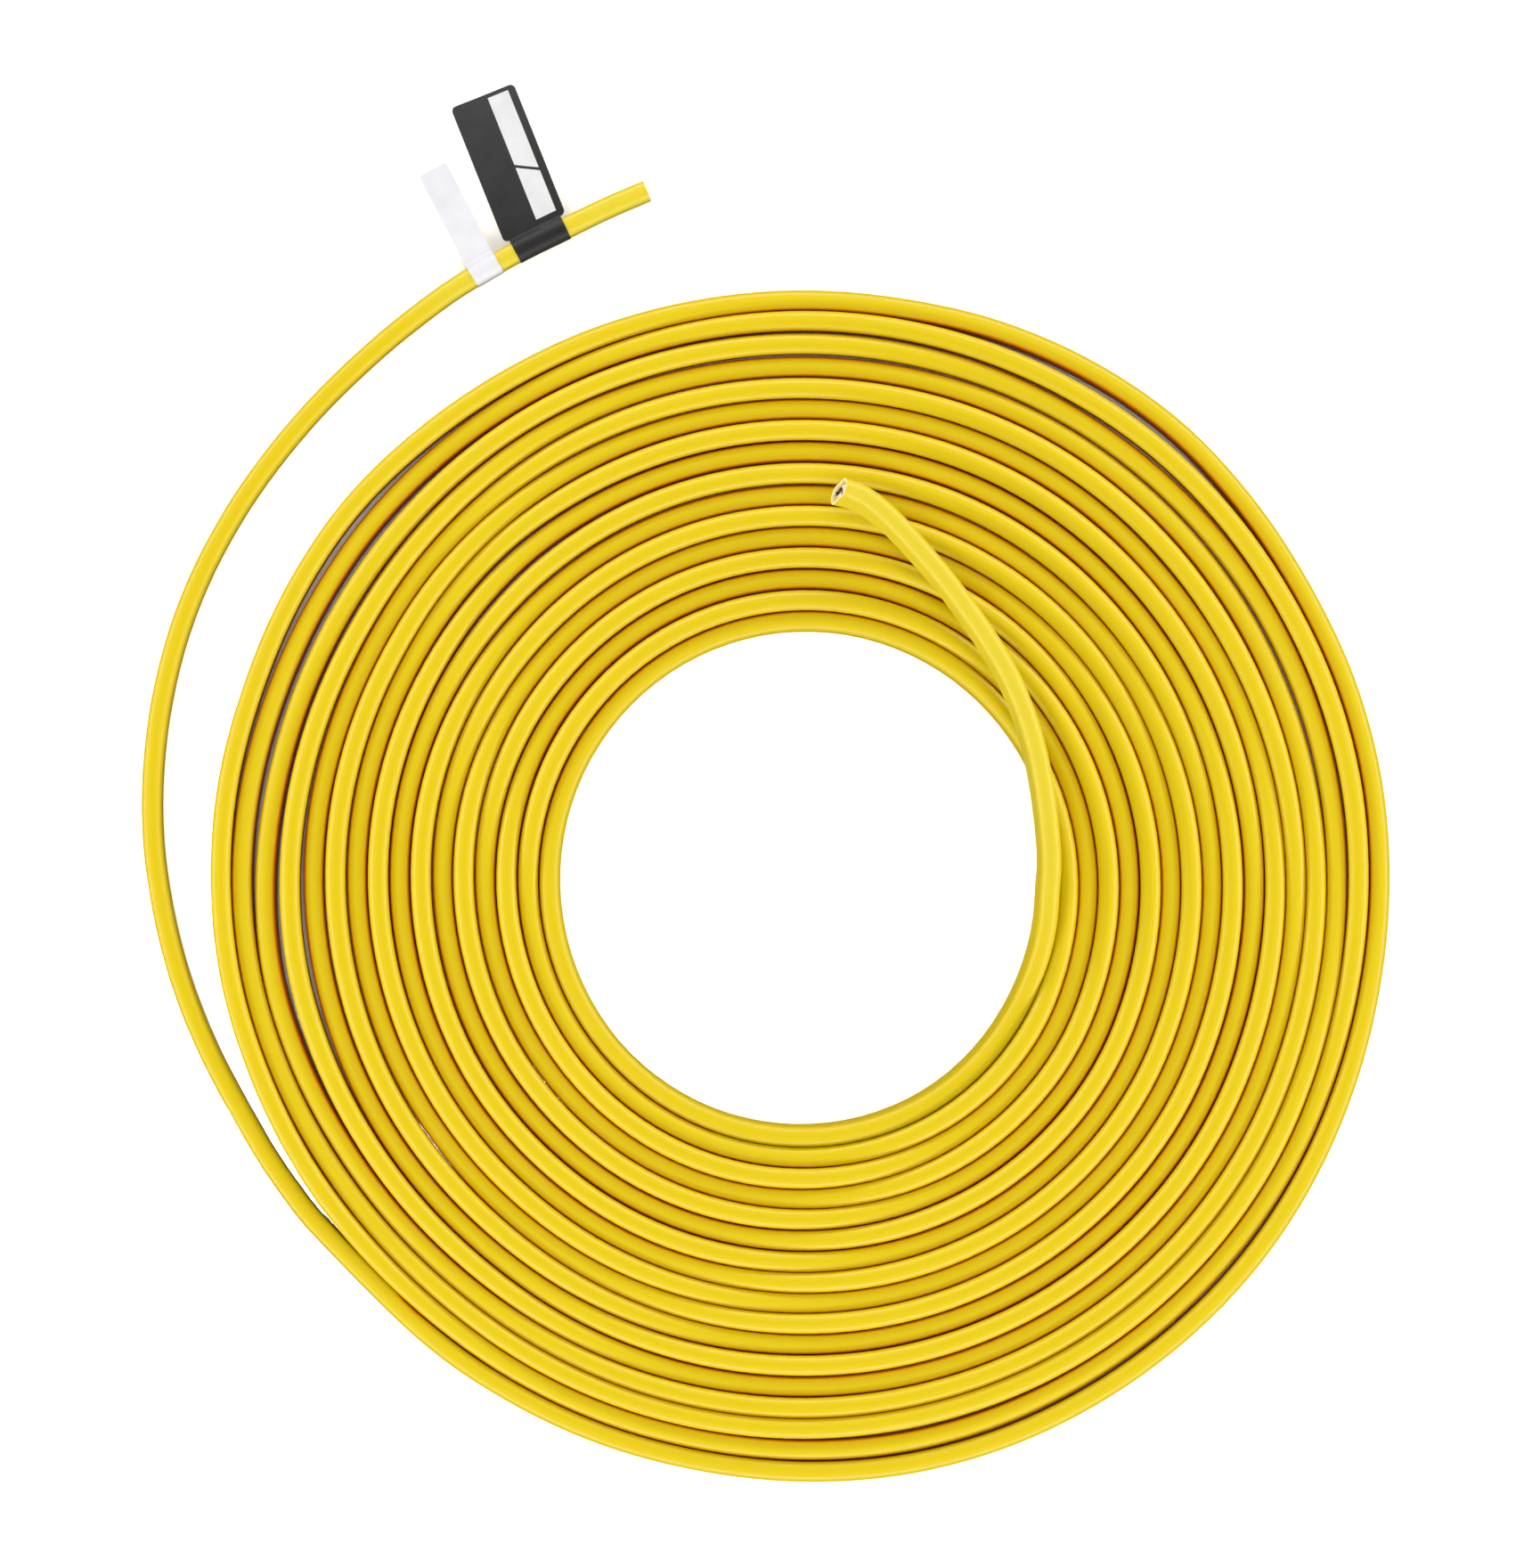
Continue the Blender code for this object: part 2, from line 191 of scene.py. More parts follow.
# Outer tail: angle in degrees, how far it stands off the coil's flank, and its share of the labels' lift
FLANK_RADIUS = 0.20595
LABEL_LIFT = 0.0008
LEAVING_ROUTE = [(216.0, -0.0034, 0.0), (211.5, -0.0018, 0.0), (207.4, -0.0004, 0.0)]
OUTER_ROUTE = [
    (203.4, 0.0009, 0.0),
    (195.9, 0.0050, 0.0),
    (188.9, 0.0092, 0.0),
    (182.3, 0.0130, 0.0),
    (176.0, 0.0166, 0.0),
    (169.8, 0.0195, 0.0),
    (163.6, 0.0220, 0.0),
    (157.3, 0.0241, 0.0),
    (150.7, 0.0254, 0.0),
    (143.5, 0.0262, 0.0),
    (135.8, 0.0269, 0.1),
    (128.5, 0.0279, 0.4),
    (122.8, 0.0292, 0.8),
    (119.1, 0.0302, 1.0),
    (114.2, 0.0314, 1.0),
    (109.5, 0.0329, 1.0),
    (106.0, 0.0350, 1.0),
    (102.4, 0.0374, 1.0),
]

# Black label: a neck of film round the cable, and a flag with a printed panel
BLACK_NECK_LENGTH = 0.0193
BLACK_FLAG_WIDTH = 0.0233
BLACK_FLAG_LENGTH = 0.0498
BLACK_FLAG_CORNER = 0.0018
BLACK_FROM_END = 0.0402
BLACK_SWING_DEG = -4.0
BLACK_CURL = 0.0007
PANEL_LEFT = 0.0015
PANEL_RIGHT = 0.0090
PANEL_FOOT = 0.0025
PANEL_TOP = 0.0483
PANEL_SPLIT = 0.0205
PANEL_SPLIT_SLOPE = -0.58
PANEL_SPLIT_HALF = 0.00056

# White label: a narrow strip over the cable
WHITE_STRIP_WIDTH = 0.0103
WHITE_FLAG_LENGTH = 0.0352
WHITE_FLAG_CORNER = 0.0005
WHITE_FROM_END = 0.0618
WHITE_SWING_DEG = -3.0
WHITE_CURL = 0.0004

# Both labels, each given as place from the cut end, neck length, flag width, flag length, corner and swing
BLACK_SIZES = (
    BLACK_FROM_END,
    BLACK_NECK_LENGTH,
    BLACK_FLAG_WIDTH,
    BLACK_FLAG_LENGTH,
    BLACK_FLAG_CORNER,
    BLACK_SWING_DEG,
)
WHITE_SIZES = (
    WHITE_FROM_END,
    WHITE_STRIP_WIDTH,
    WHITE_STRIP_WIDTH,
    WHITE_FLAG_LENGTH,
    WHITE_FLAG_CORNER,
    WHITE_SWING_DEG,
)
FILM = 0.00018
FILM_SEAT = 0.00006
FLAG_ROOT_HEIGHT = 0.0085
FLAG_TIP_HEIGHT = 0.0006
FLAG_FOOT_GAP = 0.0010
FLAG_SAG = 0.35
FLAG_WAVE = 0.00012
NECK_STEPS = 14
NECK_DRAW = 0.0013
NECK_DRAW_REACH = 0.0009
NECK_WRINKLE = 0.00006
SLICE = 0.0020

# Side of the swept section that faces away from the coil
OUTER_SIDE = -1

# Creases sharper than this stay sharp
SHARP_DEG = 40.0
PAPER_SHARP_DEG = 50.0

# Colours, as stops of a noise from its dark end to its light end
SHEATH_TONES = [(0.3, (0.568, 0.428, 0.0006)), (0.5, (0.575, 0.434, 0.0008)), (0.7, (0.582, 0.440, 0.0012))]
CUT_SHEATH_TONES = [(0.35, (0.72, 0.62, 0.22)), (0.65, (0.82, 0.76, 0.46))]
BLACK_WIRE_TONES = [(0.35, (0.012, 0.012, 0.013)), (0.65, (0.025, 0.025, 0.027))]
WHITE_WIRE_TONES = [(0.35, (0.70, 0.69, 0.66)), (0.65, (0.80, 0.79, 0.76))]
COPPER_TONES = [(0.3, (0.55, 0.24, 0.11)), (0.7, (0.86, 0.46, 0.27))]
PAPER_TONES = [(0.42, (0.22, 0.13, 0.08)), (0.5, (0.70, 0.58, 0.48)), (0.7, (0.88, 0.80, 0.70))]
# The black film's stops carry its random tone and its painted shade
BLACK_FILM_TONES_AND_SHADE = [(0.15, (0.010, 0.010, 0.0105)), (0.8, (0.029, 0.029, 0.030))]
PANEL_TONES = [(0.3, (0.54, 0.545, 0.555)), (0.7, (0.59, 0.595, 0.605))]
WHITE_FILM_TONES = [(0.3, (0.55, 0.55, 0.585)), (0.7, (0.61, 0.61, 0.645))]

# Painted shade on the sheath between the turns, golden on its flank and brown down at the bottom of the gap
PAINTED_WARM_SHADE_COLOUR = (0.69, 0.415, 0.0008)
PAINTED_DEEP_SHADE_COLOUR = (0.42, 0.075, 0.0005)
PAINTED_WARM_SHADE_SHARES = (0.0, 0.35)
PAINTED_DEEP_SHADE_SHARES = (0.28, 0.8)
PAINTED_SHADE_DEPTHS = (0.0008, 0.0044)
# Painted highlight: the free ends are painted paler, for the extra light they catch
PAINTED_LIGHT_END_COLOUR = (0.585, 0.472, 0.022)
PAINTED_LIGHT_END_REACH = ((0.12, 0.20), (0.06, 0.10))

# Studio. Each ring of lights is given as first azimuth, elevation, distance, size and watts.
FLOOR_COLOUR = (0.97, 0.97, 0.97)
WORLD_COLOUR = (1.0, 0.82, 0.60)
WORLD_STRENGTH = 0.12
LOW_COUNT = 12
LOW_RING = (2, 12, 1.5, (0.78, 0.36), 5.0)
UPPER_COUNT = 8
UPPER_RING = (10, 56, 1.6, (0.9, 0.7), 3.75)
WASH_RING = (30, 60, 1.6, (0.9, 0.7), 7.0)
WASH_COLOUR = (1.0, 0.93, 0.87)

# Floor between the outer tail and the coil, where they part, and the light that reaches into it
WEDGE_PLACE = (-0.186, -0.088, 0.0)
WEDGE_LIGHT = (116, 66, 1.6, (0.12, 0.12), 0.9)
WEDGE_SPREAD_DEG = 16.0


# Camera and light


def make_camera(middle, top):
    """Straight above the photographed point, with the photograph's frame at the height of the coil's top."""
    lens = bpy.data.cameras.new("photo_camera")
    lens.sensor_width = SENSOR
    lens.lens = SENSOR * CAMERA_RISE / (PHOTO_HEIGHT * PIXEL)
    camera = bpy.data.objects.new("photo_camera", lens)
    across = (PHOTO_WIDTH / 2 - COIL_MIDDLE_PIXEL[0]) * PIXEL
    up = (COIL_MIDDLE_PIXEL[1] - PHOTO_HEIGHT / 2) * PIXEL
    camera.location = (middle.x + across, middle.y + up, top + CAMERA_RISE)
    bpy.context.scene.collection.objects.link(camera)
    bpy.context.scene.camera = camera


def add_softbox(name, azimuth, elevation, distance, size, power, target=(0.0, 0.0, 0.0)):
    """A soft light that looks at the target from this azimuth, counted anticlockwise from +X."""
    light = bpy.data.lights.new(name, "AREA")
    light.shape = "RECTANGLE"
    light.size, light.size_y = size
    light.energy = power
    softbox = bpy.data.objects.new(name, light)
    turn, rise = math.radians(azimuth), math.radians(elevation)
    way = Vector((math.cos(turn) * math.cos(rise), math.sin(turn) * math.cos(rise), math.sin(rise)))
    softbox.location = Vector(target) + way * distance
    softbox.rotation_euler = way.to_track_quat("Z", "Y").to_euler()
    softbox.visible_camera = False
    bpy.context.scene.collection.objects.link(softbox)
    return softbox


def add_ring_light(name, k, count, ring):
    """One of the evenly spaced lights of a ring round the coil."""
    first, *rest = ring
    return add_softbox(f"{name}_{k}", first + 360 / count * k, *rest)


def light_studio(floor):
    """A low ring for the shine on the turns, an upper ring for the rest, and a wash for the floor alone."""
    world = bpy.data.worlds.new("pale_studio")
    world.use_nodes = True
    sky = world.node_tree.nodes["Background"]
    sky.inputs["Color"].default_value = (*WORLD_COLOUR, 1.0)
    sky.inputs["Strength"].default_value = WORLD_STRENGTH
    bpy.context.scene.world = world
    for k in range(LOW_COUNT):
        add_ring_light("low_light", k, LOW_COUNT, LOW_RING)
    floor_alone = bpy.data.collections.new("floor_alone")
    floor_alone.objects.link(floor)
    all_but_floor = bpy.data.collections.new("all_but_floor")
    all_but_floor.objects.link(floor)
    all_but_floor.collection_objects[0].light_linking.link_state = "EXCLUDE"
    for k in range(UPPER_COUNT):
        upper = add_ring_light("upper_light", k, UPPER_COUNT, UPPER_RING)
        upper.visible_glossy = False
        upper.light_linking.receiver_collection = all_but_floor
        wash = add_ring_light("floor_wash", k, UPPER_COUNT, WASH_RING)
        wash.data.color = WASH_COLOUR
        wash.light_linking.receiver_collection = floor_alone
    wedge = add_softbox("floor_wash_in_wedge", *WEDGE_LIGHT, WEDGE_PLACE)
    wedge.data.spread = math.radians(WEDGE_SPREAD_DEG)
    wedge.light_linking.receiver_collection = floor_alone


def lay_floor():
    """A plain pale floor that neither mirrors in the cable nor throws light back up at it."""
    mesh = bpy.data.meshes.new("studio_floor")
    bm = bmesh.new()
    bmesh.ops.create_grid(bm, x_segments=1, y_segments=1, size=4.0)
    bm.to_mesh(mesh)
    bm.free()
    floor = bpy.data.objects.new("studio_floor", mesh)
    bpy.context.scene.collection.objects.link(floor)
    material, shader, _ = new_material("pale_floor", 0.8)
    shader.inputs["Base Color"].default_value = (*FLOOR_COLOUR, 1.0)
    mesh.materials.append(material)
    floor.visible_diffuse = False
    floor.visible_glossy = False
    return floor


# Materials


def new_material(name, roughness):
    material = bpy.data.materials.new(name)
    material.use_nodes = True
    shader = material.node_tree.nodes["Principled BSDF"]
    shader.inputs["Roughness"].default_value = roughness
    return material, shader, material.node_tree


def place_vector(tree, attribute, scale):
    """The piece's own attribute, or Object coordinates where it has none, stretched by scale."""
    if attribute:
        source = tree.nodes.new("ShaderNodeAttribute")
        source.attribute_name = attribute
        output = source.outputs["Vector"]
    else:
        source = tree.nodes.new("ShaderNodeTexCoord")
        output = source.outputs["Object"]
    stretch = tree.nodes.new("ShaderNodeMapping")
    stretch.inputs["Scale"].default_value = scale
    tree.links.new(output, stretch.inputs["Vector"])
    return stretch.outputs["Vector"]


def object_place(tree):
    return place_vector(tree, None, (1.0, 1.0, 1.0))


def add_noise(tree, vector, scale, detail, roughness=0.5):
    cloud = tree.nodes.new("ShaderNodeTexNoise")
    cloud.inputs["Scale"].default_value = scale
    cloud.inputs["Detail"].default_value = detail
    cloud.inputs["Roughness"].default_value = roughness
    tree.links.new(vector, cloud.inputs["Vector"])
    return cloud.outputs["Fac"]


def add_range(tree, value, low, high, to_low, to_high):
    remap = tree.nodes.new("ShaderNodeMapRange")
    remap.inputs["From Min"].default_value = low
    remap.inputs["From Max"].default_value = high
    remap.inputs["To Min"].default_value = to_low
    remap.inputs["To Max"].default_value = to_high
    tree.links.new(value, remap.inputs["Value"])
    return remap.outputs["Result"]


def add_ramp(tree, value, stops):
    ramp = tree.nodes.new("ShaderNodeValToRGB")
    bar = ramp.color_ramp
    while len(bar.elements) < len(stops):
        bar.elements.new(0.5)
    for element, (position, colour) in zip(bar.elements, stops):
        element.position = position
        element.color = (*colour, 1.0)
    tree.links.new(value, ramp.inputs["Fac"])
    return ramp.outputs["Color"]


def add_mix(tree, factor, first, second):
    mix = tree.nodes.new("ShaderNodeMix")
    mix.data_type = "RGBA"
    tree.links.new(factor, mix.inputs["Factor"])
    for socket, colour in (("A", first), ("B", second)):
        target = [s for s in mix.inputs if s.name == socket and s.type == "RGBA"][0]
        if isinstance(colour, tuple):
            target.default_value = (*colour, 1.0)
        else:
            tree.links.new(colour, target)
    return [s for s in mix.outputs if s.type == "RGBA"][0]


def add_maths(tree, operation, *values):
    maths = tree.nodes.new("ShaderNodeMath")
    maths.operation = operation
    for socket, value in zip(maths.inputs, values):
        if isinstance(value, (int, float)):
            socket.default_value = value
        else:
            tree.links.new(value, socket)
    return maths.outputs["Value"]


def add_bump(tree, shader, height, strength, distance):
    bump = tree.nodes.new("ShaderNodeBump")
    bump.inputs["Strength"].default_value = strength
    bump.inputs["Distance"].default_value = distance
    tree.links.new(height, bump.inputs["Height"])
    tree.links.new(bump.outputs["Normal"], shader.inputs["Normal"])


def set_roughness(tree, shader, cloud, low, high):
    tree.links.new(add_range(tree, cloud, 0.3, 0.7, low, high), shader.inputs["Roughness"])


def read_share(tree, attribute):
    share = tree.nodes.new("ShaderNodeAttribute")
    share.attribute_name = attribute
    return share.outputs["Fac"]


def yellow_sheath():
    """Satin vinyl with draw lines and slow changes of tone along the cable, with painted shade, golden and
    brown, between the turns and a painted highlight that makes the free ends paler.
    """
    material, shader, tree = new_material("yellow_sheath", 0.36)
    along = place_vector(tree, "cable_place", (1.0, 1.0, 0.012))
    draw_lines = add_noise(tree, along, 1500.0, 3.0)
    slow = place_vector(tree, "cable_place", (1.0, 1.0, 0.12))
    tone = add_noise(tree, slow, 90.0, 2.0)
    grain = add_noise(tree, object_place(tree), 2600.0, 2.0)
    fine = add_maths(tree, "MULTIPLY", draw_lines, 0.4)
    broad = add_maths(tree, "MULTIPLY", tone, 0.6)
    colour = add_ramp(tree, add_maths(tree, "ADD", fine, broad), SHEATH_TONES)
    # Painted highlight: paler near the free ends
    colour = add_mix(tree, read_share(tree, "painted_light_at_ends"), colour, PAINTED_LIGHT_END_COLOUR)
    # Painted shade: golden on the flanks that face another turn, brown deep in the gap
    depth = read_share(tree, "painted_shade_between_turns")
    painted_warm_shade = add_range(tree, depth, *PAINTED_WARM_SHADE_SHARES, 0.0, 1.0)
    brown = add_range(tree, depth, *PAINTED_DEEP_SHADE_SHARES, 0.0, 1.0)
    colour = add_mix(tree, painted_warm_shade, colour, PAINTED_WARM_SHADE_COLOUR)
    colour = add_mix(tree, brown, colour, PAINTED_DEEP_SHADE_COLOUR)
    tree.links.new(colour, shader.inputs["Base Color"])
    set_roughness(tree, shader, draw_lines, 0.34, 0.42)
    height = add_maths(tree, "ADD", draw_lines, add_maths(tree, "MULTIPLY", grain, 0.5))
    add_bump(tree, shader, height, 0.045, 0.00002)
    shader.inputs["Specular IOR Level"].default_value = 0.5
    shader.inputs["Subsurface Weight"].default_value = 0.15
    shader.inputs["Subsurface Radius"].default_value = (1.0, 0.3, 0.02)
    shader.inputs["Subsurface Scale"].default_value = 0.0012
    return material


def cut_sheath():
    """The sheath where it is cut: paler, rough and a little torn."""
    material, shader, tree = new_material("cut_sheath", 0.65)
    place = object_place(tree)
    colour = add_ramp(tree, add_noise(tree, place, 1800.0, 3.0), CUT_SHEATH_TONES)
    tree.links.new(colour, shader.inputs["Base Color"])
    add_bump(tree, shader, add_noise(tree, place, 3500.0, 3.0), 0.6, 0.0001)
    return material


def wire_plastic(name, tones):
    """Smooth insulation of a wire, in slightly uneven tones."""
    material, shader, tree = new_material(name, 0.35)
    place = object_place(tree)
    colour = add_ramp(tree, add_noise(tree, place, 700.0, 3.0), tones)
    tree.links.new(colour, shader.inputs["Base Color"])
    add_bump(tree, shader, add_noise(tree, place, 3000.0, 2.0), 0.3, 0.00005)
    return material


def copper():
    """Bare copper, bright with saw marks at the cut and slight brown tarnish."""
    material, shader, tree = new_material("bare_copper", 0.3)
    shader.inputs["Metallic"].default_value = 1.0
    place = object_place(tree)
    colour = add_ramp(tree, add_noise(tree, place, 900.0, 3.0), COPPER_TONES)
    tree.links.new(colour, shader.inputs["Base Color"])
    set_roughness(tree, shader, add_noise(tree, place, 1600.0, 2.0), 0.22, 0.45)
    saw_marks = add_noise(tree, place_vector(tree, None, (1.0, 8.0, 1.0)), 1500.0, 2.0)
    add_bump(tree, shader, saw_marks, 0.4, 0.00004)
    return material


def wrapping_paper():
    """Brown and cream fibrous paper, matt and crumpled."""
    material, shader, tree = new_material("wrapping_paper", 0.9)
    place = object_place(tree)
    colour = add_ramp(tree, add_noise(tree, place, 1200.0, 4.0), PAPER_TONES)
    tree.links.new(colour, shader.inputs["Base Color"])
    add_bump(tree, shader, add_noise(tree, place, 2500.0, 4.0), 0.7, 0.0001)
    return material


def within(tree, value, low, high):
    """1 where the value lies between low and high, else 0."""
    above = add_maths(tree, "GREATER_THAN", value, low)
    below = add_maths(tree, "LESS_THAN", value, high)
    return add_maths(tree, "MULTIPLY", above, below)


def black_film():
    """Black vinyl film with a fine matt grain, painted darker towards the neck as painted shade, and a bare
    white panel split by a slanting line.
    """
    material, shader, tree = new_material("black_film", 0.5)
    place = tree.nodes.new("ShaderNodeAttribute")
    place.attribute_name = "label_place"
    parts = tree.nodes.new("ShaderNodeSeparateXYZ")
    tree.links.new(place.outputs["Vector"], parts.inputs["Vector"])
    across, out = parts.outputs["X"], parts.outputs["Y"]
    panel = add_maths(
        tree,
        "MULTIPLY",
        within(tree, across, PANEL_LEFT, PANEL_RIGHT),
        within(tree, out, PANEL_FOOT, PANEL_TOP),
    )
    middle = (PANEL_LEFT + PANEL_RIGHT) / 2
    slant = add_maths(tree, "MULTIPLY", add_maths(tree, "SUBTRACT", across, middle), PANEL_SPLIT_SLOPE)
    past_split = add_maths(tree, "SUBTRACT", add_maths(tree, "SUBTRACT", out, slant), PANEL_SPLIT)
    from_split = add_maths(tree, "ABSOLUTE", past_split)
    clear_of_split = add_maths(tree, "GREATER_THAN", from_split, PANEL_SPLIT_HALF)
    printed = add_maths(tree, "MULTIPLY", panel, clear_of_split)
    on_piece = object_place(tree)
    cloud = add_noise(tree, on_piece, 160.0, 3.0)
    # Painted shade: the black film is darker at the neck and lighter towards the flag's tip
    painted_shade_fade = add_range(tree, out, 0.0, BLACK_FLAG_LENGTH, 0.0, 0.6)
    flag_tone_and_painted_shade = add_maths(tree, "ADD", painted_shade_fade, add_maths(tree, "MULTIPLY", cloud, 0.4))
    black = add_ramp(tree, flag_tone_and_painted_shade, BLACK_FILM_TONES_AND_SHADE)
    white = add_ramp(tree, cloud, PANEL_TONES)
    tree.links.new(add_mix(tree, printed, black, white), shader.inputs["Base Color"])
    set_roughness(tree, shader, add_noise(tree, on_piece, 420.0, 3.0), 0.52, 0.62)
    add_bump(tree, shader, add_noise(tree, on_piece, 3200.0, 2.0), 0.25, 0.00003)
    return material


def white_film():
    """Faintly blue white film with soft handling marks."""
    material, shader, tree = new_material("white_film", 0.45)
    place = object_place(tree)
    colour = add_ramp(tree, add_noise(tree, place, 120.0, 3.0), WHITE_FILM_TONES)
    tree.links.new(colour, shader.inputs["Base Color"])
    set_roughness(tree, shader, add_noise(tree, place, 500.0, 3.0), 0.38, 0.55)
    add_bump(tree, shader, add_noise(tree, place, 3000.0, 2.0), 0.25, 0.00003)
    return material


# Route of the cable


def wrapped(degrees):
    """The same angle, between -180 and 180 degrees."""
    return (degrees + 180.0) % 360.0 - 180.0


def spiral_radius(turn):
    """Radius of the cable's middle after this many turns, out of round and with its loose places."""
    degrees = -360.0 * turn
    share = turn / TURNS_WOUND
    radius = SPIRAL_START + SPIRAL_PITCH * turn + SPIRAL_GROWTH * turn * turn
    for waves, even, odd, even_gain, odd_gain in OUT_OF_ROUND:
        angle = math.radians(waves * degrees)
        radius += (even + even_gain * share) * math.cos(angle) + (odd + odd_gain * share) * math.sin(angle)
    for place, at, turns, reach, push in LOOSE_PLACES:
        near = (turn - place) / turns
        beside = wrapped(degrees - at) / reach
        radius += push * math.exp(-near * near - beside * beside)
    return radius


def ease(value, low, high):
    """0 below low, 1 above high, and a smooth step between them."""
    share = min(max((value - low) / (high - low), 0.0), 1.0)
    return share * share * (3.0 - 2.0 * share)


def turn_lift(turn):
    """High and low turns change about, so that each turn lies higher or lower than the ones beside it."""
    phase = LIFT_WAVES * turn + LIFT_PHASE + 0.5 * ease(turn, *LIFT_SLIP)
    wave = 0.5 + 0.5 * math.tanh(LIFT_SHARPNESS * math.sin(math.tau * phase))
    return TURN_LIFT * wave * ease(turn, 0.3, 1.0) * (1.0 - ease(turn, TURNS_WOUND - 0.5, TURNS_WOUND))


def turn_lean(turn):
    """Outward lean in degrees."""
    lean = TURN_LEAN * math.sin(math.tau * LEAN_WAVES * turn + 1.0) * ease(turn, 0.4, 1.5)
    lean *= 1.0 - ease(turn, TURNS_WOUND - 0.4, TURNS_WOUND)
    for place, pull in PULLED_TURNS:
        near = (turn - place) / PULL_REACH
        if place < 1.0 and turn < place:
            near = 0.0
        lean += pull * math.exp(-near * near)
    return lean


def standing_height(lean):
    """Height of the cable's middle where it stands on edge on the floor."""
    return HALF_THICKNESS + HALF_FLAT * math.cos(math.radians(lean))


def climb_share(degrees):
    """How far up its climb out of the bore the inner tail is at this angle."""
    return ease(degrees, CLIMB_START_DEG, CLIMB_END_DEG)


def middle_line(radius, height, lean):
    """The line through the two round edges' centres, in the upright plane through the coil's axis."""
    tip = Vector((math.sin(math.radians(lean)), math.cos(math.radians(lean)))) * HALF_FLAT
    centre = Vector((radius, height))
    return centre - tip, centre + tip


def nearest(point, line):
    """Distance from the point to the nearest place on the line."""
    start, end = line
    along = end - start
    share = min(max((point - start).dot(along) / along.dot(along), 0.0), 1.0)
    return (point - start - along * share).length


def apart(inner, outer):
    """Distance between the middle lines of two turns, each given as radius, height and lean."""
    first, second = middle_line(*inner), middle_line(*outer)
    from_first = [nearest(end, second) for end in first]
    from_second = [nearest(end, first) for end in second]
    return min(from_first + from_second)


def wound_turns():
    """The coil's own turns, each laid clear of the turn inside it, as radius, height and lean."""
    turns = []
    steps = round(TURNS_WOUND * STEPS_PER_TURN)
    for step in range(steps + 1):
        turn = step / STEPS_PER_TURN
        lean = turn_lean(turn)
        floor_height = standing_height(lean) + turn_lift(turn)
        height = floor_height + ON_TOP * climb_share(360.0 - 360.0 * turn)
        here = (spiral_radius(turn), height, lean)
        if step >= STEPS_PER_TURN:
            inside = turns[step - STEPS_PER_TURN]
            for _ in range(4):
                short = CABLE_THICKNESS + TURN_CLEARANCE - apart(inside, here)
                here = (here[0] + max(short, 0.0), height, lean)
        turns.append(here)
    return turns


def polar(centre, degrees, radius, height, lean, turn):
    angle = math.radians(degrees)
    return (
        centre.x + radius * math.cos(angle),
        centre.y + radius * math.sin(angle),
        height,
        math.radians(lean),
        turn,
    )


def chosen_points(centre):
    """The whole cable from the inner cut end to the outer one, as x, y, z, lean and turns wound so far."""
    points = []
    for degrees, out, rise, lean in INNER_ROUTE[::-1]:
        height = standing_height(lean) + ON_TOP + rise
        points.append(polar(centre, degrees, FIRST_TURN_RADIUS + out, height, lean, 0.0))
    for degrees, out in CLIMB_ROUTE:
        height = standing_height(CLIMB_LEAN) + ON_TOP * climb_share(degrees)
        points.append(polar(centre, degrees, FIRST_TURN_RADIUS + out, height, CLIMB_LEAN, 0.0))
    for step, (radius, height, lean) in enumerate(wound_turns()):
        turn = step / STEPS_PER_TURN
        points.append(polar(centre, -360.0 * turn, radius, height, lean, turn))
    for degrees, out, share in LEAVING_ROUTE + OUTER_ROUTE:
        height = HALF_WIDTH + share * LABEL_LIFT
        points.append(polar(centre, degrees, FLANK_RADIUS + out, height, 0.0, TURNS_WOUND + 1.0))
    return points


def curve_value(a, b, c, d, t):
    """A share t of the way from b to c on the smooth curve through all four."""
    straight = (c - a) * t
    bend = (2 * a - 5 * b + 4 * c - d) * t**2
    turn_back = (3 * b - a - 3 * c + d) * t**3
    return 0.5 * (2 * b + straight + bend + turn_back)


def smooth_route(points, spacing):
    """Evenly spaced points on one smooth curve through the chosen points. Each may carry further values."""
    dense = []
    last = len(points) - 1
    for i in range(last):
        before, here = points[max(i - 1, 0)], points[i]
        there, after = points[i + 1], points[min(i + 2, last)]
        for step in range(CURVE_STEPS):
            t = step / CURVE_STEPS
            dense.append(tuple(curve_value(*values, t) for values in zip(before, here, there, after)))
    dense.append(tuple(points[last]))
    reach = [0.0]
    for a, b in zip(dense, dense[1:]):
        reach.append(reach[-1] + math.dist(a[:3], b[:3]))
    count = max(2, round(reach[-1] / spacing))
    spaced = []
    at = 0
    for k in range(count + 1):
        goal = reach[-1] * k / count
        while at < len(dense) - 2 and reach[at + 1] < goal:
            at += 1
        share = (goal - reach[at]) / (reach[at + 1] - reach[at])
        spaced.append(tuple(a + (b - a) * share for a, b in zip(dense[at], dense[at + 1])))
    return spaced


# Cable


def racetrack(thickness, width, steps):
    """Points round a flat section with rounded edges, thickness across and width upright."""
    radius = thickness / 2
    flat = (width - thickness) / 2
    points = []
    for centre, start in ((flat, 0.0), (-flat, math.pi)):
        for step in range(steps + 1):
            angle = start + math.pi * step / steps
            points.append((radius * math.cos(angle), centre + radius * math.sin(angle)))
    return points


def cable_outline():
    """The cable's section, whose broad sides dip a little between its wires."""
    arcs = racetrack(CABLE_THICKNESS, CABLE_WIDTH, EDGE_STEPS)
    half = len(arcs) // 2
    outline = []
    for arc, side in ((arcs[:half], -1.0), (arcs[half:], 1.0)):
        outline += arc
        for step in range(1, FLAT_STEPS):
            share = step / FLAT_STEPS
            dip = SIDE_DIP * math.sin(math.pi * share) ** 2
            y = side * HALF_FLAT * (2 * share - 1)
            outline.append((side * (HALF_THICKNESS - dip), y))
    return outline[::-1]


